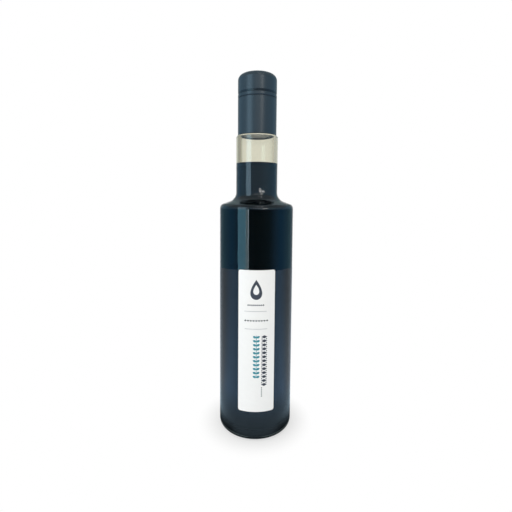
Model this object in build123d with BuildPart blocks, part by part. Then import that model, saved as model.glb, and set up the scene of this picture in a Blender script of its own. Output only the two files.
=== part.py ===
from build123d import *
from math import atan2, cos, sin
import os

# A tall clear glass bottle of dark vinegar: straight body, nearly flat shoulder, slim neck,
# and a long metal closure that stands on the lip of the glass.
# Millimetres. +Z is up, the label looks along -Y, and the bottle stands on z = 0.

# Closure: a sleeve that stands on the lip, and the cap that twists off above it
cap_diameter = 32.2
cap_height = 16.2
cap_corner_radius = 4.5
sleeve_length = 32.5
sleeve_foot_radius = 0.5
tear_line_depth = 0.4
ring_groove_drop = 3.0  # below the tear line
ring_groove_radius = 0.45

# Glass, outside
body_diameter = 62.0
glass_height = 247.6
shoulder_radius = 4.2
shoulder_rise = 4.9  # of the slope, from the side to the neck
neck_length = 52.7  # from the slope's top to the lip
neck_ledge = 1.3  # by which the neck stands out past the closure
neck_root_radius = 7.8
lip_radius = 2.2
heel_radius = 3.7

# Glass, walls and base
body_wall = 2.3
shoulder_wall = 2.6
neck_wall = 3.4
bore_root_radius = 10.0
floor_thickness = 6.0  # above the plane that the bottle stands on
floor_corner_radius = 6.0
push_up_diameter = 44.0
push_up_height = 2.5

# Vinegar
fill_drop = 23.8  # from the lip down to the surface

# Label
label_width = 29.8  # measured round the glass
label_shift = 0.7  # round the glass, towards +X
label_bottom = 24.9
label_top = 140.0
label_corner_radius = 1.6
label_thickness = 0.15

# Worked out from those above
neck_diameter = cap_diameter + 2 * neck_ledge
bore_diameter = neck_diameter - 2 * neck_wall
cap_radius = cap_diameter / 2
neck_radius = neck_diameter / 2
bore_radius = bore_diameter / 2
body_radius = body_diameter / 2
inner_radius = body_radius - body_wall
push_up_radius = push_up_diameter / 2

neck_root_height = glass_height - neck_length  # where the slope and the neck would meet
shoulder_height = neck_root_height - shoulder_rise  # where the side and the slope would meet
fill_height = glass_height - fill_drop
tear_line_height = glass_height + sleeve_length

shoulder_run = body_radius - neck_radius
shoulder_drop = shoulder_wall / cos(atan2(shoulder_rise, shoulder_run))


def inner_shoulder_height(radius):
    # the inner slope runs below the outer one, parallel to it
    return shoulder_height + (body_radius - radius) * shoulder_rise / shoulder_run - shoulder_drop


def cavity_outline(top):
    # the inside of the glass, from a height in the bore to the middle of the floor
    return FilletPolyline(
        (bore_radius, top),
        (bore_radius, inner_shoulder_height(bore_radius)),
        (inner_radius, inner_shoulder_height(inner_radius)),
        (inner_radius, floor_thickness),
        (0, floor_thickness),
        radius=[bore_root_radius, shoulder_radius - body_wall, floor_corner_radius],
    )


os.makedirs("parts", exist_ok=True)

# Bottle: one section of glass turned about Z, standing on the ring round its push-up
with BuildPart() as bottle:
    with BuildSketch(Plane.XZ):
        with BuildLine():
            FilletPolyline(
                (push_up_radius, 0),
                (body_radius, 0),
                (body_radius, shoulder_height),
                (neck_radius, neck_root_height),
                (neck_radius, glass_height),
                (bore_radius, glass_height),
                radius=[heel_radius, shoulder_radius, neck_root_radius, lip_radius],
            )
            cavity_outline(glass_height)
            Line((0, floor_thickness), (0, push_up_height))
            TangentArc((0, push_up_height), (push_up_radius, 0), tangent=(1, 0))
        make_face()
    revolve(axis=Axis.Z)
bottle.part.label = "bottle"
export_step(bottle.part, "parts/bottle.step")

# Vinegar: everything inside the glass up to the fill line
with BuildPart() as vinegar:
    with BuildSketch(Plane.XZ):
        with BuildLine():
            cavity_outline(fill_height)
            Polyline((0, floor_thickness), (0, fill_height), (bore_radius, fill_height))
        make_face()
    revolve(axis=Axis.Z)
vinegar.part.label = "vinegar"
export_step(vinegar.part, "parts/vinegar.step")

# Sleeve: stands on the lip and closes the bore, with a rolled ring groove under the tear line
with BuildPart() as cap_sleeve:
    with BuildSketch(Plane.XY.offset(glass_height)):
        Circle(cap_radius)
    extrude(amount=sleeve_length)
    fillet(cap_sleeve.edges().sort_by(Axis.Z)[0], radius=sleeve_foot_radius)
    chamfer(cap_sleeve.edges().sort_by(Axis.Z)[-1], length=tear_line_depth)
    with BuildSketch(Plane.XZ):
        with Locations((cap_radius, tear_line_height - ring_groove_drop)):
            Circle(ring_groove_radius)
    revolve(axis=Axis.Z, mode=Mode.SUBTRACT)
cap_sleeve.part.label = "cap_sleeve"
export_step(cap_sleeve.part, "parts/cap_sleeve.step")

# Cap: the part that twists off, parted from the sleeve by the tear line
with BuildPart() as cap:
    with BuildSketch(Plane.XY.offset(tear_line_height)):
        Circle(cap_radius)
    extrude(amount=cap_height)
    chamfer(cap.edges().sort_by(Axis.Z)[0], length=tear_line_depth)
    fillet(cap.edges().sort_by(Axis.Z)[-1], radius=cap_corner_radius)
cap.part.label = "cap"
export_step(cap.part, "parts/cap.step")

# Label: a sheet of paper wrapped on the front of the body, its corners rounded
label_turn = label_shift / body_radius
label_chord = 2 * body_radius * sin(label_width / body_radius / 2)
label_plane = Plane(
    origin=(0, 0, (label_bottom + label_top) / 2),
    x_dir=(cos(label_turn), sin(label_turn), 0),
    z_dir=(sin(label_turn), -cos(label_turn), 0),
)
with BuildPart() as label:
    with BuildSketch(label_plane):
        RectangleRounded(label_chord, label_top - label_bottom, label_corner_radius)
    extrude(amount=body_diameter)
    with BuildSketch(Plane.XY):
        Circle(body_radius + label_thickness)
        Circle(body_radius, mode=Mode.SUBTRACT)
    extrude(amount=label_top, mode=Mode.INTERSECT)
label.part.label = "label"
export_step(label.part, "parts/label.step")
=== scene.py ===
import bpy
import bmesh
from math import atan2, cos, pi, radians, sin, tan
from mathutils import Matrix, Vector


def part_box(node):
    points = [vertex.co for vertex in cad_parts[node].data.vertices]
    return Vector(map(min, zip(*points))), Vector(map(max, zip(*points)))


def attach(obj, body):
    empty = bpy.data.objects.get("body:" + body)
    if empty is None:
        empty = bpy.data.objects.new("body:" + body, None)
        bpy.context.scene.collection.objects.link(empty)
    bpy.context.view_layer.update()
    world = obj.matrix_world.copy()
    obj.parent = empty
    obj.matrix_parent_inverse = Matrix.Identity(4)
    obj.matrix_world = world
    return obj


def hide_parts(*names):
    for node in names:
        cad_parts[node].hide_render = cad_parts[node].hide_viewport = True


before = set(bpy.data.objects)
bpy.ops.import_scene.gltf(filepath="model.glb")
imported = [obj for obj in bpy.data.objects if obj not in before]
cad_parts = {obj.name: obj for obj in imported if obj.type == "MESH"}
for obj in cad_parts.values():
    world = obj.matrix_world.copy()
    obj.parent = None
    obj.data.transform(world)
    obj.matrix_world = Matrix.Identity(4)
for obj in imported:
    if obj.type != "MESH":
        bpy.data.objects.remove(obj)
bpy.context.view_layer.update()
mm = 0.001

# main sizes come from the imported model
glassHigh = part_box("bottle")[1]
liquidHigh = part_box("vinegar")[1]
sleeveLow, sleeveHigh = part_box("cap_sleeve")
capLow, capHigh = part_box("cap")
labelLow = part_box("label")[0]
bodyRadius = glassHigh.x
print("frame loaded, bottle", round(glassHigh.z / mm, 1), "mm tall without its closure")


# shared mesh helpers

holdLoop = 0.08 * mm  # a loop this far from each arc keeps the straight beside it flat
longestStraight = 6 * mm  # longer ones are divided, because long thin faces trace badly


def softCorners(corners, segments=12):
    # corners are (radius, height, rounding) in metres; all but the two ends become arcs
    points = [Vector(corners[0][:2])]
    for before, (r, z, rounding), after in zip(corners, corners[1:], corners[2:]):
        here = Vector((r, z))
        back = (Vector(before[:2]) - here).normalized()
        ahead = (Vector(after[:2]) - here).normalized()
        halfAngle = back.angle(ahead) / 2
        reach = rounding / tan(halfAngle)
        centre = here + (back + ahead).normalized() * rounding / sin(halfAngle)
        start = here + back * reach - centre
        sweep = start.angle_signed(here + ahead * reach - centre)
        points.append(here + back * (reach + holdLoop))
        points += [centre + Matrix.Rotation(-sweep * k / segments, 2) @ start for k in range(segments + 1)]
        points.append(here + ahead * (reach + holdLoop))
    points.append(Vector(corners[-1][:2]))
    divided = [points[0]]
    for point in points[1:]:
        parts = int((point - divided[-1]).length / longestStraight) + 1
        divided += [divided[-1].lerp(point, k / parts) for k in range(1, parts + 1)]
    return divided


def turnedPiece(name, points, steps=160):
    # a wire outline in the XZ plane, spun once round Z
    bm = bmesh.new()
    verts = [bm.verts.new((p.x, 0, p.y)) for p in points]
    for a, b in zip(verts, verts[1:]):
        bm.edges.new((a, b))
    bmesh.ops.spin(bm, geom=bm.verts[:] + bm.edges[:], cent=(0, 0, 0), axis=(0, 0, 1),
                   dvec=(0, 0, 0), angle=2 * pi, steps=steps, use_merge=True, use_duplicate=False)
    bmesh.ops.remove_doubles(bm, verts=bm.verts[:], dist=0.002 * mm)
    bmesh.ops.recalc_face_normals(bm, faces=bm.faces[:])
    return finishedPiece(name, bm)


def finishedPiece(name, bm, smooth=True):
    mesh = bpy.data.meshes.new(name)
    for face in bm.faces:
        face.smooth = smooth
    bm.to_mesh(mesh)
    bm.free()
    piece = bpy.data.objects.new(name, mesh)
    bpy.context.scene.collection.objects.link(piece)
    return piece


def newMaterial(name):
    material = bpy.data.materials.new(name)
    material.use_nodes = True
    nodes = material.node_tree.nodes
    return material, nodes, material.node_tree.links, nodes["Principled BSDF"]


# shared node helpers; a socket takes another node's output, or a colour or number of its own

def feed(links, value, socket):
    if isinstance(value, tuple):
        socket.default_value = (*value, 1)
    elif isinstance(value, (int, float)):
        socket.default_value = value
    else:
        links.new(value, socket)


def mathNode(nodes, links, operation, *values):
    node = nodes.new("ShaderNodeMath")
    node.operation = operation
    for socket, value in zip(node.inputs, values):
        feed(links, value, socket)
    return node.outputs[0]


def rampNode(nodes, links, source, start, end, low=0.0, high=1.0, kind="SMOOTHSTEP"):
    node = nodes.new("ShaderNodeMapRange")
    node.interpolation_type = kind
    for socket, value in (("Value", source), ("From Min", start), ("From Max", end),
                          ("To Min", low), ("To Max", high)):
        feed(links, value, node.inputs[socket])
    return node.outputs["Result"]


def mixNode(nodes, links, share, low, high):
    node = nodes.new("ShaderNodeMix")
    node.data_type = "RGBA"
    for socket, value in ((node.inputs[0], share), (node.inputs[6], low), (node.inputs[7], high)):
        feed(links, value, socket)
    return node.outputs[2]


# fine grain, a surface effect for paint, paper and ink

def makeFineGrain():
    # small bumps and a little uneven roughness
    group = bpy.data.node_groups.new("fineGrain", "ShaderNodeTree")
    for socket in ("Size", "Depth", "Roughness", "Spread"):
        group.interface.new_socket(socket, in_out="INPUT", socket_type="NodeSocketFloat")
    group.interface.new_socket("Roughness", in_out="OUTPUT", socket_type="NodeSocketFloat")
    group.interface.new_socket("Normal", in_out="OUTPUT", socket_type="NodeSocketVector")
    nodes, links = group.nodes, group.links
    given, out, place, grain, bump = (nodes.new(kind) for kind in (
        "NodeGroupInput", "NodeGroupOutput", "ShaderNodeTexCoord", "ShaderNodeTexNoise", "ShaderNodeBump"))
    grain.inputs["Detail"].default_value = 3
    bump.inputs["Distance"].default_value = 0.1 * mm
    links.new(place.outputs["Object"], grain.inputs["Vector"])
    links.new(given.outputs["Size"], grain.inputs["Scale"])
    links.new(grain.outputs["Fac"], bump.inputs["Height"])
    links.new(given.outputs["Depth"], bump.inputs["Strength"])
    uneven = mathNode(nodes, links, "MULTIPLY_ADD", grain.outputs["Fac"],
                      given.outputs["Spread"], given.outputs["Roughness"])
    links.new(uneven, out.inputs["Roughness"])
    links.new(bump.outputs["Normal"], out.inputs["Normal"])
    return group


fineGrain = makeFineGrain()


def addGrain(nodes, links, shader, setup):
    grain = nodes.new("ShaderNodeGroup")
    grain.node_tree = fineGrain
    for socket, value in setup.items():
        grain.inputs[socket].default_value = value
    links.new(grain.outputs["Roughness"], shader.inputs["Roughness"])
    links.new(grain.outputs["Normal"], shader.inputs["Normal"])


# glass

glass = {
    "shoulderHeight": 190.0, "shoulderRounding": 4.2,
    "neckRadius": 17.4, "neckRootHeight": 194.9, "neckRootRounding": 7.8,
    "lipRounding": 2.2, "innerLipRounding": 0.5, "heelRounding": 3.7,
    "bodyWall": 2.3, "shoulderWall": 2.76, "boreRadius": 14.0, "boreRootRounding": 10.0,
    "floorThickness": 6.0, "floorRounding": 6.0,
    "pushUpRadius": 22.0, "pushUpHeight": 2.5,
    "tint": (0.972, 0.962, 0.915), "ior": 1.5,
    "bodyTint": (0.40, 0.37, 0.10), "bodyTintDensity": 79,
    "rippleScale": 26, "ripple": 0.08, "rippleHeight": 2.0,
    "seamX": -2.2, "seamWidth": 0.35, "seam": 0.07, "seamHeight": 0.2,
}


def cavityCorners(top, grow=0.0):
    # the inside of the glass from a height in the bore down to the floor; grow pushes it into the wall
    slope = (glass["neckRootHeight"] - glass["shoulderHeight"]) * mm / (bodyRadius - glass["neckRadius"] * mm)
    bore = glass["boreRadius"] * mm + grow
    inner = bodyRadius - glass["bodyWall"] * mm + grow
    floor = glass["floorThickness"] * mm - grow

    def under(r):
        return glass["shoulderHeight"] * mm + (bodyRadius - r) * slope - glass["shoulderWall"] * mm + grow

    return [
        (bore, top, glass["innerLipRounding"] * mm),
        (bore, under(bore), glass["boreRootRounding"] * mm),
        (inner, under(inner), (glass["shoulderRounding"] - glass["bodyWall"]) * mm + grow),
        (inner, floor, glass["floorRounding"] * mm + grow),
        (0, floor, 0),
    ]


def makeGlassMaterial():
    material, nodes, links, shader = newMaterial("clearGlass")
    shader.inputs["Base Color"].default_value = (*glass["tint"], 1)
    shader.inputs["Roughness"].default_value = 0.0
    shader.inputs["IOR"].default_value = glass["ior"]
    shader.inputs["Transmission Weight"].default_value = 1.0
    depth = nodes.new("ShaderNodeVolumeAbsorption")
    depth.inputs["Color"].default_value = (*glass["bodyTint"], 1)
    depth.inputs["Density"].default_value = glass["bodyTintDensity"]
    links.new(depth.outputs[0], nodes["Material Output"].inputs["Volume"])
    place, split, ripple, rippleBump, seamBump = (nodes.new(kind) for kind in (
        "ShaderNodeTexCoord", "ShaderNodeSeparateXYZ", "ShaderNodeTexNoise",
        "ShaderNodeBump", "ShaderNodeBump"))
    ripple.inputs["Scale"].default_value = glass["rippleScale"]
    ripple.inputs["Detail"].default_value = 1
    for bump, name in ((rippleBump, "ripple"), (seamBump, "seam")):
        bump.inputs["Strength"].default_value = glass[name]
        bump.inputs["Distance"].default_value = glass[name + "Height"] * mm
    links.new(place.outputs["Object"], ripple.inputs["Vector"])
    links.new(place.outputs["Object"], split.inputs[0])
    fromSeam = mathNode(nodes, links, "SUBTRACT", split.outputs["X"], glass["seamX"] * mm)
    seam = rampNode(nodes, links, mathNode(nodes, links, "ABSOLUTE", fromSeam), glass["seamWidth"] * mm, 0.0)
    links.new(ripple.outputs["Fac"], rippleBump.inputs["Height"])
    links.new(seam, seamBump.inputs["Height"])
    links.new(rippleBump.outputs["Normal"], seamBump.inputs["Normal"])
    links.new(seamBump.outputs["Normal"], shader.inputs["Normal"])
    return material


def makeGlass():
    top = glassHigh.z
    outside = [
        (glass["pushUpRadius"] * mm, 0, 0),
        (bodyRadius, 0, glass["heelRounding"] * mm),
        (bodyRadius, glass["shoulderHeight"] * mm, glass["shoulderRounding"] * mm),
        (glass["neckRadius"] * mm, glass["neckRootHeight"] * mm, glass["neckRootRounding"] * mm),
        (glass["neckRadius"] * mm, top, glass["lipRounding"] * mm),
    ]
    rise, reach, steps = glass["pushUpHeight"] * mm, glass["pushUpRadius"] * mm, 12
    domeRadius = (reach ** 2 + rise ** 2) / (2 * rise)
    dome = []
    for k in range(steps):  # the push-up is a shallow dome
        turn = k / steps * atan2(reach, domeRadius - rise)
        dome.append(Vector((domeRadius * sin(turn), rise - domeRadius * (1 - cos(turn)))))
    points = dome + softCorners(outside + cavityCorners(top))
    piece = turnedPiece("glassBottle", points, 192)
    piece.data.materials.append(makeGlassMaterial())
    return piece


glassBottle = makeGlass()
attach(glassBottle, "root")
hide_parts("bottle")
print("glass bottle made,", len(glassBottle.data.polygons), "faces")


# vinegar

vinegar = {
    "intoWall": 0.15, "meniscusRise": 0.9, "meniscusReach": 2.6,
    "colour": (0.0009, 0.0026, 0.0036), "edgeColour": (0.022, 0.008, 0.008), "edgeDepth": 0.5,
    "roughness": 0.25, "ior": 1.34, "specular": 0.05,
}


def makeVinegarMaterial():
    material, nodes, links, shader = newMaterial("darkVinegar")
    for socket, name in (("Roughness", "roughness"), ("IOR", "ior"), ("Specular IOR Level", "specular")):
        shader.inputs[socket].default_value = vinegar[name]
    place, split = nodes.new("ShaderNodeTexCoord"), nodes.new("ShaderNodeSeparateXYZ")
    links.new(place.outputs["Object"], split.inputs[0])
    thin = rampNode(nodes, links, split.outputs["Z"], liquidHigh.z - vinegar["edgeDepth"] * mm,
                    liquidHigh.z + vinegar["meniscusRise"] * mm, kind="LINEAR")
    links.new(mixNode(nodes, links, thin, vinegar["colour"], vinegar["edgeColour"]),
              shader.inputs["Base Color"])
    return material


def makeVinegar():
    rise, reach = vinegar["meniscusRise"] * mm, vinegar["meniscusReach"] * mm
    wall = cavityCorners(liquidHigh.z + rise, vinegar["intoWall"] * mm)
    edge = wall[0][0]
    steps = 8
    surface = [Vector((0, liquidHigh.z))]
    for k in range(steps):  # the surface climbs the glass in a fading curve
        surface.append(Vector((edge - reach * (1 - k / steps), liquidHigh.z + rise * (k / steps) ** 3)))
    points = surface + softCorners(wall)
    piece = turnedPiece("vinegarFill", points, 160)
    piece.data.materials.append(makeVinegarMaterial())
    return piece


vinegarFill = makeVinegar()
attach(vinegarFill, "root")
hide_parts("vinegar")
print("vinegar made,", len(vinegarFill.data.polygons), "faces")


# closure

closure = {
    "cornerRounding": 4.5, "tearDepth": 0.4, "tearAbove": 1.6, "tearBelow": 0.3,
    "grooveDrop": 3.1, "grooveAbove": 0.7, "grooveBelow": 0.35, "grooveDepth": 0.35,
    "edgeRounding": 0.2, "intoLip": 0.1, "sealDepth": 0.9,
    # the second, darker colour is painted shade for the tear line and the groove
    "colour": (0.018, 0.032, 0.043), "paintedShadeColour": (0.009, 0.016, 0.022),
    "tearShade": 0.75, "grooveShade": 1.3, "shadeCore": 0.4,  # how far the painted shade, a darker paint colour, reaches
    "ior": 1.45, "grain": {"Size": 1100, "Depth": 0.2, "Roughness": 0.27, "Spread": 0.1},
}


def makeCapPaint():
    material, nodes, links, shader = newMaterial("anthracitePaint")
    place, split = nodes.new("ShaderNodeTexCoord"), nodes.new("ShaderNodeSeparateXYZ")
    links.new(place.outputs["Object"], split.inputs[0])
    tearHigh, grooveHigh = closure["tearAbove"] * mm, closure["grooveAbove"] * mm
    colour = closure["colour"]
    # the colour darkens towards the middle of the tear line and of the groove, painted shade for these
    # recesses
    for middle, reach in ((capLow.z + tearHigh / 2, tearHigh * closure["tearShade"]),
                          (capLow.z - closure["grooveDrop"] * mm, grooveHigh * closure["grooveShade"])):
        away = mathNode(nodes, links, "SUBTRACT", split.outputs["Z"], middle)
        away = mathNode(nodes, links, "ABSOLUTE", away)
        near = rampNode(nodes, links, away, reach, reach * closure["shadeCore"])
        colour = mixNode(nodes, links, near, colour, closure["paintedShadeColour"])
    links.new(colour, shader.inputs["Base Color"])
    shader.inputs["IOR"].default_value = closure["ior"]
    addGrain(nodes, links, shader, closure["grain"])
    return material


capPaint = makeCapPaint()


def makeSleeve():
    r, low, high = sleeveHigh.x, sleeveLow.z - closure["intoLip"] * mm, sleeveHigh.z
    soft = closure["edgeRounding"] * mm
    groove = high - closure["grooveDrop"] * mm
    seal = glass["boreRadius"] * mm + soft  # the sleeve's foot is seated in the lip, outside the bore
    corners = [
        (0, low, 0),
        (seal, low, soft / 2),
        (seal, low - closure["sealDepth"] * mm, soft / 2),
        (r, low - closure["sealDepth"] * mm, soft / 2),
        (r, groove - closure["grooveBelow"] * mm, soft / 2),
        (r - closure["grooveDepth"] * mm, groove, soft / 2),
        (r, groove + closure["grooveAbove"] * mm, soft),
        (r, high - closure["tearBelow"] * mm, soft / 2),
        (r - closure["tearDepth"] * mm, high, soft / 2),
        (0, high, 0),
    ]
    piece = turnedPiece("capSleeve", softCorners(corners, 6), 128)
    piece.data.materials.append(capPaint)
    return piece


def makeCap():
    r, low, high = capHigh.x, capLow.z, capHigh.z
    corners = [
        (0, low, 0),
        (r - closure["tearDepth"] * mm, low, closure["edgeRounding"] / 2 * mm),
        (r, low + closure["tearAbove"] * mm, closure["edgeRounding"] * mm),
        (r, high, closure["cornerRounding"] * mm),
        (0, high, 0),
    ]
    piece = turnedPiece("twistCap", softCorners(corners), 128)
    piece.data.materials.append(capPaint)
    return piece


for piece, node in ((makeSleeve(), "cap_sleeve"), (makeCap(), "cap")):
    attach(piece, "root")
    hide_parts(node)
print("closure made")


# label and its print

label = {
    "width": 29.8, "cut": 0.5,  # marks are cut this fine so that they follow the round glass
    "paper": (0.93, 0.93, 0.915), "paperShade": (0.89, 0.885, 0.87), "fibreScale": 350,
    "paperGrain": {"Size": 1200, "Depth": 0.15, "Roughness": 0.42, "Spread": 0.15},
    "lift": 0.02, "inkThickness": 0.04,
    "inkGrain": {"Size": 1500, "Depth": 0.1, "Roughness": 0.45, "Spread": 0.2},
    "darkInk": (0.040, 0.044, 0.055), "tealInk": (0.028, 0.26, 0.31), "greyInk": (0.40, 0.41, 0.43),
}
marks = {  # x is round the glass from its front line, y is up, and a column starts at its top
    "drop": {"x": 0.3, "y": 124.6, "width": 12.2, "height": 15.9, "stroke": 3.0},
    "dotRow": {"x": 0, "y": 112.3, "count": 9, "pitch": 1.5, "size": 1.15},
    "lozengeRow": {"x": 0.45, "y": 99.8, "count": 9, "pitch": 2.15, "width": 1.9, "height": 1.5},
    "border": {"x": 6.95, "y": 86.7, "count": 13, "pitch": 3.26, "width": 4.9, "height": 2.6,
               "dotOut": 1.75, "dotSize": 1.0},
    "dotColumn": {"x": 5.05, "y": 44.9, "count": 5, "pitch": 1.7, "size": 0.95},
    "sprig": {"x": 0.65, "y": 86.6, "count": 11, "pitch": 3.25, "stemLow": 53.2, "stemHigh": 87.8,
              "stem": 0.45, "leafOut": 1.4, "leafLength": 3.0, "leafWidth": 1.9, "leafTurn": 28},
    "rules": [{"x": -0.2, "y": 107.3, "width": 17.8, "height": 0.3},
              {"x": 0.25, "y": 93.1, "width": 18.1, "height": 0.3}],
}


def inkPiece(name, bm, colour):
    # flat marks, x round the glass from its front line and y up, get their thickness and wrap onto the paper
    bm.normal_update()
    bmesh.ops.reverse_faces(bm, faces=[face for face in bm.faces if face.normal.z < 0])
    half = label["width"] / 2
    for k in range(int(2 * half / label["cut"]) + 1):
        bmesh.ops.bisect_plane(bm, geom=bm.verts[:] + bm.edges[:] + bm.faces[:], dist=1e-7,
                               plane_co=((k * label["cut"] - half) * mm, 0, 0), plane_no=(1, 0, 0))
    raised = bmesh.ops.extrude_face_region(bm, geom=bm.faces[:])["geom"]
    bmesh.ops.translate(bm, vec=(0, 0, label["inkThickness"] * mm),
                        verts=[v for v in raised if isinstance(v, bmesh.types.BMVert)])
    for v in bm.verts:
        r = -labelLow.y + label["lift"] * mm + v.co.z
        turn = v.co.x / bodyRadius
        v.co = Vector((r * sin(turn), -r * cos(turn), v.co.y))
    piece = finishedPiece(name, bm, smooth=False)
    material, nodes, links, shader = newMaterial(name)
    shader.inputs["Base Color"].default_value = (*colour, 1)
    addGrain(nodes, links, shader, label["inkGrain"])
    piece.data.materials.append(material)
    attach(piece, "root")


def placeMark(bm, verts, x, y, width, height, turn=0.0):
    # a mark made one unit across is scaled, turned and moved to its place, in millimetres
    bmesh.ops.scale(bm, vec=(width * mm, height * mm, 1), verts=verts)
    bmesh.ops.rotate(bm, cent=(0, 0, 0), matrix=Matrix.Rotation(radians(turn), 3, "Z"), verts=verts)
    bmesh.ops.translate(bm, vec=(x * mm, y * mm, 0), verts=verts)


def addBar(bm, x, y, width, height):
    bar = bmesh.ops.create_grid(bm, x_segments=1, y_segments=1, size=0.5)["verts"]
    placeMark(bm, bar, x, y, width, height)


def addDot(bm, x, y, size):
    dot = bmesh.ops.create_circle(bm, cap_ends=True, segments=16, radius=0.5)["verts"]
    placeMark(bm, dot, x, y, size, size)


def addLozenge(bm, x, y, width, height):
    lozenge = bmesh.ops.create_circle(bm, cap_ends=True, segments=4, radius=0.5)["verts"]
    placeMark(bm, lozenge, x, y, width, height)


def addLeaf(bm, x, y, length, width, turn):
    # a disc drawn in to a point at both ends, lying along x before it is turned
    leaf = bmesh.ops.create_circle(bm, cap_ends=True, segments=24, radius=0.5)["verts"]
    for v in leaf:
        v.co.y *= (1 - min(1.0, 4 * v.co.x ** 2)) ** 0.5
    placeMark(bm, leaf, x, y, length, width, turn)


def addDrop(bm, x, y, width, height, stroke):
    # two loops, round below and drawn up to a point, with a face band between them
    loops = []
    for inset in (0, stroke):
        loop = bmesh.ops.create_circle(bm, cap_ends=False, segments=48, radius=0.5)["verts"]
        for v in loop:
            v.co.x *= max(0.0, 0.5 - v.co.y) ** 0.55
        placeMark(bm, loop, x, y, width - 2 * inset, height - 2 * inset * height / width)
        loops += {edge for v in loop for edge in v.link_edges}
    bmesh.ops.bridge_loops(bm, edges=loops)


def makeDarkPrint():
    bm = bmesh.new()
    dots, row, border, column = (marks[name] for name in ("dotRow", "lozengeRow", "border", "dotColumn"))
    addDrop(bm, **marks["drop"])
    for k in range(dots["count"]):
        addDot(bm, dots["x"] + dots["pitch"] * (k - dots["count"] // 2), dots["y"], dots["size"])
    for k in range(row["count"]):
        x = row["x"] + row["pitch"] * (k - row["count"] // 2)
        addLozenge(bm, x, row["y"], row["width"], row["height"])
    for k in range(border["count"]):
        y = border["y"] - border["pitch"] * k
        addLozenge(bm, border["x"], y, border["width"], border["height"])
        if k:  # two dots between each pair of lozenges
            for side in (-1, 1):
                addDot(bm, border["x"] + side * border["dotOut"], y + border["pitch"] / 2, border["dotSize"])
    for k in range(column["count"]):
        addDot(bm, column["x"], column["y"] - column["pitch"] * k, column["size"])
    inkPiece("darkPrint", bm, label["darkInk"])


def makeTealPrint():
    bm = bmesh.new()
    sprig = marks["sprig"]
    low, high = sprig["stemLow"], sprig["stemHigh"]
    addBar(bm, sprig["x"], (low + high) / 2, sprig["stem"], high - low)
    for k in range(sprig["count"]):
        for side in (-1, 1):
            addLeaf(bm, sprig["x"] + side * sprig["leafOut"], sprig["y"] - sprig["pitch"] * k,
                    sprig["leafLength"], sprig["leafWidth"], side * sprig["leafTurn"])
    inkPiece("tealPrint", bm, label["tealInk"])


def makeRules():
    bm = bmesh.new()
    for rule in marks["rules"]:
        addBar(bm, **rule)
    inkPiece("thinRules", bm, label["greyInk"])


def makeLabelPaper():
    material, nodes, links, shader = newMaterial("coatedPaper")
    place, fibre = nodes.new("ShaderNodeTexCoord"), nodes.new("ShaderNodeTexNoise")
    fibre.inputs["Scale"].default_value = label["fibreScale"]
    fibre.inputs["Detail"].default_value = 4
    links.new(place.outputs["Object"], fibre.inputs["Vector"])
    links.new(mixNode(nodes, links, fibre.outputs["Fac"], label["paper"], label["paperShade"]),
              shader.inputs["Base Color"])
    addGrain(nodes, links, shader, label["paperGrain"])
    return material


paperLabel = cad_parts["label"]
paperLabel.data.materials.clear()
paperLabel.data.materials.append(makeLabelPaper())
makeDarkPrint()
makeTealPrint()
makeRules()
print("label printed")


# stage, light and camera

# seen directly the table is white, with the bottle's shadow close by; in gloss it glows with painted light,
# bluish in front and greyer behind, with a painted shadow close round the bottle
stage = {
    "tableRadius": 0.70, "tableColour": (0.95, 0.95, 0.95), "roughness": 0.7, "white": 1.0,
    "shadeShare": 0.55, "shadeStart": 0.031, "shadeEnd": 0.052,  # less white close to the bottle
    "clearStart": 0.033, "clearEnd": 0.075,  # and none there for what shows through the glass
    "glossFront": (0.60, 1.0, 1.55), "glossBack": (0.46, 0.54, 0.62), "glossNear": (0.72, 1.0, 1.22),
    "frontEnd": -0.35, "backStart": 0.45,  # where those two tones blend, from -1 in front to 1 behind
    "nearShadowGloss": 0.07, "middleGloss": 0.62,
    "nearRadius": 0.034, "middleRadius": 0.052, "farRadius": 0.100,
    "frontShift": 0.009, "shiftFull": -0.97, "shiftNone": -0.55,  # in front the gloss brightens sooner
    "farGloss": 0.84, "fadeStart": 0.10, "fadeEnd": 0.45,
}


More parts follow.
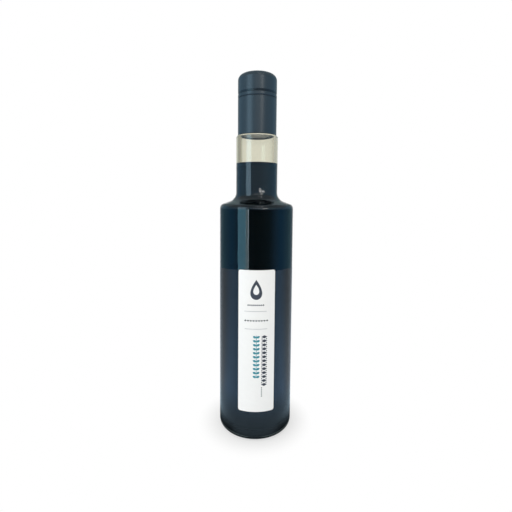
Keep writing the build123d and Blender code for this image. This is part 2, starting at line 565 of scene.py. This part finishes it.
def makeTableMaterial():
    material, nodes, links, shader = newMaterial("paleTable")
    shader.inputs["Base Color"].default_value = (*stage["tableColour"], 1)
    shader.inputs["Roughness"].default_value = stage["roughness"]
    path, place, reach, facing, split, whiteGlow, paintedGlossLight = (nodes.new(kind) for kind in (
        "ShaderNodeLightPath", "ShaderNodeTexCoord", "ShaderNodeVectorMath", "ShaderNodeVectorMath",
        "ShaderNodeSeparateXYZ", "ShaderNodeEmission", "ShaderNodeEmission"))
    reach.operation, facing.operation = "LENGTH", "NORMALIZE"
    links.new(place.outputs["Object"], reach.inputs[0])
    links.new(place.outputs["Object"], facing.inputs[0])
    links.new(facing.outputs["Vector"], split.inputs[0])
    away, behind = reach.outputs["Value"], split.outputs["Y"]

    def ramp(source, start, end, low, high):
        return rampNode(nodes, links, source, stage[start], stage[end], low, high)

    def times(a, b):
        return mathNode(nodes, links, "MULTIPLY", a, b)

    whiteGlow.inputs["Strength"].default_value = stage["white"]
    # in gloss the table glows with painted light, its tone bluish in front and greyer behind
    tone = mixNode(nodes, links, ramp(behind, "frontEnd", "backStart", 0.0, 1.0),
                   stage["glossFront"], stage["glossBack"])
    tone = mixNode(nodes, links, ramp(away, "nearRadius", "farRadius", 0.0, 1.0), stage["glossNear"], tone)
    links.new(tone, paintedGlossLight.inputs["Color"])
    # the glow is dimmed close round the bottle, a painted shadow
    shift = ramp(behind, "shiftFull", "shiftNone", stage["frontShift"], 0.0)
    shifted = mathNode(nodes, links, "ADD", away, shift)
    near = ramp(shifted, "nearRadius", "middleRadius", stage["nearShadowGloss"], stage["middleGloss"])
    middle = ramp(shifted, "middleRadius", "farRadius", 1.0, 1 / stage["middleGloss"])
    fade = ramp(away, "fadeStart", "fadeEnd", 1.0, stage["farGloss"])
    links.new(times(times(near, middle), fade), paintedGlossLight.inputs["Strength"])
    # glass shows the white too, apart from the ring close round the bottle
    throughGlass = path.outputs["Is Transmission Ray"]
    through = times(throughGlass, ramp(away, "clearStart", "clearEnd", 0.0, 1.0))
    share = ramp(away, "shadeStart", "shadeEnd", stage["shadeShare"], 1.0)
    direct = times(path.outputs["Is Camera Ray"], share)
    # a ray through smooth glass counts as glossy too, so those are taken out
    mirrored = mathNode(nodes, links, "SUBTRACT", path.outputs["Is Glossy Ray"], throughGlass)
    plain, withGloss = nodes.new("ShaderNodeMixShader"), nodes.new("ShaderNodeMixShader")
    links.new(mathNode(nodes, links, "MAXIMUM", direct, through), plain.inputs[0])
    links.new(shader.outputs[0], plain.inputs[1])
    links.new(whiteGlow.outputs[0], plain.inputs[2])
    links.new(mirrored, withGloss.inputs[0])
    links.new(plain.outputs[0], withGloss.inputs[1])
    links.new(paintedGlossLight.outputs[0], withGloss.inputs[2])
    links.new(withGloss.outputs[0], nodes["Material Output"].inputs["Surface"])
    return material


def makeTable():
    bm = bmesh.new()
    bmesh.ops.create_circle(bm, cap_ends=True, segments=96, radius=stage["tableRadius"])
    table = finishedPiece("paleTable", bm, smooth=False)
    table.data.materials.append(makeTableMaterial())


# what surrounds the bottle; a direction runs from -1 to 1 on each axis
room = {
    "diffuse": (0.89, 0.885, 0.87),
    # mirrored tones below and above the horizon, from the camera's side (0) to straight behind (1)
    "below": [
        (0.00, (0.006, 0.028, 0.045)),
        (0.12, (0.03, 0.09, 0.14)),
        (0.28, (0.09, 0.28, 0.53)),
        (0.42, (0.06, 0.32, 0.66)),
        (0.56, (0.11, 0.33, 0.57)),
        (0.75, (0.14, 0.32, 0.42)),
        (0.93, (0.25, 0.34, 0.40)),
        (0.985, (1.0, 1.0, 1.0)),
    ],
    "above": [
        (0.00, (0.37, 0.56, 0.76)),
        (0.18, (0.45, 0.74, 1.00)),
        (0.50, (0.30, 0.60, 0.90)),
        (0.75, (0.28, 0.52, 0.75)),
        (0.89, (0.36, 0.50, 0.58)),
        (0.985, (1.0, 1.0, 1.0)),
    ],
    "horizon": (-0.01, 0.02),
    "highBehind": (0.27, 0.36, 0.38), "highBehindZ": (0.14, 0.36), "highBehindY": (0.70, 0.82),
    "ceiling": (0.46, 0.57, 0.64), "ceilingZ": (0.35, 0.60), "ceilingY": (0.93, 0.60),
    # cards beside the white behind, which the thick glass shows at its edges
    "leftCard": (0.50, 0.48, 0.42), "rightCard": (0.80, 0.78, 0.76),
    "cardsBlend": (-0.1, 0.1), "cardXSquared": (0.10, 0.22), "cardY": (0.1, 0.4),
}


def makeWorld():
    # white where it is seen or shows through the glass; the room's own tones in gloss
    world = bpy.data.worlds.new("room")
    world.use_nodes = True
    nodes, links = world.node_tree.nodes, world.node_tree.links
    nodes.clear()
    path, place, split = (nodes.new(kind) for kind in
                          ("ShaderNodeLightPath", "ShaderNodeTexCoord", "ShaderNodeSeparateXYZ"))
    links.new(place.outputs["Generated"], split.inputs[0])

    def ramp(source, span):
        return rampNode(nodes, links, source, *span, kind="LINEAR")

    def both(a, b):
        return mathNode(nodes, links, "MULTIPLY", a, b)

    x, y, z = (split.outputs[axis] for axis in "XYZ")
    layers = []
    for name in ("below", "above"):
        tone = nodes.new("ShaderNodeValToRGB")
        stops = tone.color_ramp.elements
        while len(stops) < len(room[name]):
            stops.new(0.5)
        for stop, (position, colour) in zip(stops, room[name]):
            stop.position = position
            stop.color = (*colour, 1)
        links.new(ramp(y, (-1.0, 1.0)), tone.inputs[0])
        layers.append(tone.outputs["Color"])
    mirrored = mixNode(nodes, links, ramp(z, room["horizon"]), *layers)
    for name in ("highBehind", "ceiling"):
        share = both(ramp(z, room[name + "Z"]), ramp(y, room[name + "Y"]))
        mirrored = mixNode(nodes, links, share, mirrored, room[name])
    onCard = both(ramp(both(x, x), room["cardXSquared"]), ramp(y, room["cardY"]))
    card = mixNode(nodes, links, ramp(x, room["cardsBlend"]), room["leftCard"], room["rightCard"])
    through = mixNode(nodes, links, onCard, (1.0, 1.0, 1.0), card)

    def glow(colour):
        node = nodes.new("ShaderNodeBackground")
        feed(links, colour, node.inputs["Color"])
        return node.outputs[0]

    # each kind of ray takes over from those before it
    result = glow(room["diffuse"])
    for kind, colour in (("Glossy", mirrored), ("Transmission", through), ("Camera", (1.0, 1.0, 1.0))):
        mix = nodes.new("ShaderNodeMixShader")
        links.new(path.outputs["Is " + kind + " Ray"], mix.inputs[0])
        links.new(result, mix.inputs[1])
        links.new(glow(colour), mix.inputs[2])
        result = mix.outputs[0]
    links.new(result, nodes.new("ShaderNodeOutputWorld").inputs["Surface"])
    bpy.context.scene.world = world


# azimuth is in degrees from the camera's side round to the right; other sizes in metres
lights = {  # only gloss shows these, and clear glass those marked as seen through
    "leftWindow": {"azimuth": -46.5, "distance": 1.6, "low": 0.17, "high": 1.45, "width": 0.80,
                   "glow": 2.6, "colour": (0.58, 0.88, 1.10), "seenThrough": True},
    "windowBottom": {"azimuth": -45.0, "distance": 1.6, "low": -0.25, "high": 0.17, "width": 0.74,
                     "glow": 2.5, "colour": (0.36, 0.86, 1.14)},
    "windowEdge": {"azimuth": -28.0, "distance": 1.55, "low": -0.25, "high": 0.17, "width": 0.27,
                   "glow": 2.2, "colour": (0.66, 0.92, 1.05)},
    "windowGlint": {"azimuth": -23.5, "distance": 1.50, "low": -0.25, "high": 0.17, "width": 0.05,
                    "glow": 4.0, "colour": (0.80, 0.95, 1.05)},
    "rightDoor": {"azimuth": 27, "distance": 2.0, "low": 0.62, "high": 1.3, "width": 0.50,
                  "glow": 4.4, "colour": (1.0, 0.97, 0.92), "seenThrough": True},
    "frontCard": {"azimuth": 0, "distance": 1.8, "low": 0.56, "high": 1.3, "width": 0.85,
                  "glow": 0.9, "colour": (0.95, 0.98, 1.0)},
    "farLampHigh": {"azimuth": 17, "distance": 1.5, "low": 0.2385, "high": 0.2475, "width": 0.36,
                    "glow": 5.0, "colour": (0.95, 0.98, 1.0)},
    "farLampLow": {"azimuth": 27, "distance": 1.5, "low": 0.2235, "high": 0.2325, "width": 0.80,
                   "glow": 9.0, "colour": (0.95, 0.98, 1.0)},
    "ceilingLamp": {"azimuth": 22, "distance": 0.8, "low": 1.35, "high": 1.6, "width": 0.5,
                    "glow": 7.0, "colour": (0.95, 0.98, 1.0)},
}
fills = {  # these light the paper, paint and table, and gloss doesn't show them
    "leftFill": {"azimuth": -62, "distance": 1.2, "low": 0.0, "high": 1.2, "width": 0.9,
                 "glow": 1.3, "colour": (0.96, 1.0, 1.0)},
}


def makeLight(name, setup, mirrored):
    lamp = bpy.data.lights.new(name, "AREA")
    lamp.shape = "RECTANGLE"
    lamp.size, lamp.size_y = setup["width"], setup["high"] - setup["low"]
    lamp.energy = setup["glow"] * pi * lamp.size * lamp.size_y
    lamp.color = setup["colour"]
    holder = bpy.data.objects.new(name, lamp)
    turn, middle = radians(setup["azimuth"]), (setup["low"] + setup["high"]) / 2
    holder.location = (setup["distance"] * sin(turn), -setup["distance"] * cos(turn), middle)
    holder.rotation_euler = (pi / 2, 0, turn)
    holder.visible_glossy = mirrored
    holder.visible_diffuse = not mirrored
    holder.visible_transmission = setup.get("seenThrough", False)
    holder.visible_camera = False
    bpy.context.scene.collection.objects.link(holder)


camera = {
    "distance": 0.2983, "height": 0.1959, "pitchDown": 4.78, "roll": 0.45,
    "lens": 24.61, "sensor": 36, "shiftX": -0.0008, "shiftY": -0.0564,
}


def makeCamera():
    data = bpy.data.cameras.new("camera")
    data.lens, data.sensor_width = camera["lens"], camera["sensor"]
    data.shift_x, data.shift_y = camera["shiftX"], camera["shiftY"]
    data.clip_start = 0.01
    holder = bpy.data.objects.new("camera", data)
    holder.matrix_world = (Matrix.Translation((0, -camera["distance"], camera["height"]))
                           @ Matrix.Rotation(radians(90 - camera["pitchDown"]), 4, "X")
                           @ Matrix.Rotation(radians(camera["roll"]), 4, "Z"))
    bpy.context.scene.collection.objects.link(holder)
    bpy.context.scene.camera = holder


makeTable()
makeWorld()
for name, setup in {**lights, **fills}.items():
    makeLight(name, setup, name in lights)
makeCamera()
bpy.context.scene.view_settings.view_transform = "Standard"
print("stage, light and camera set")
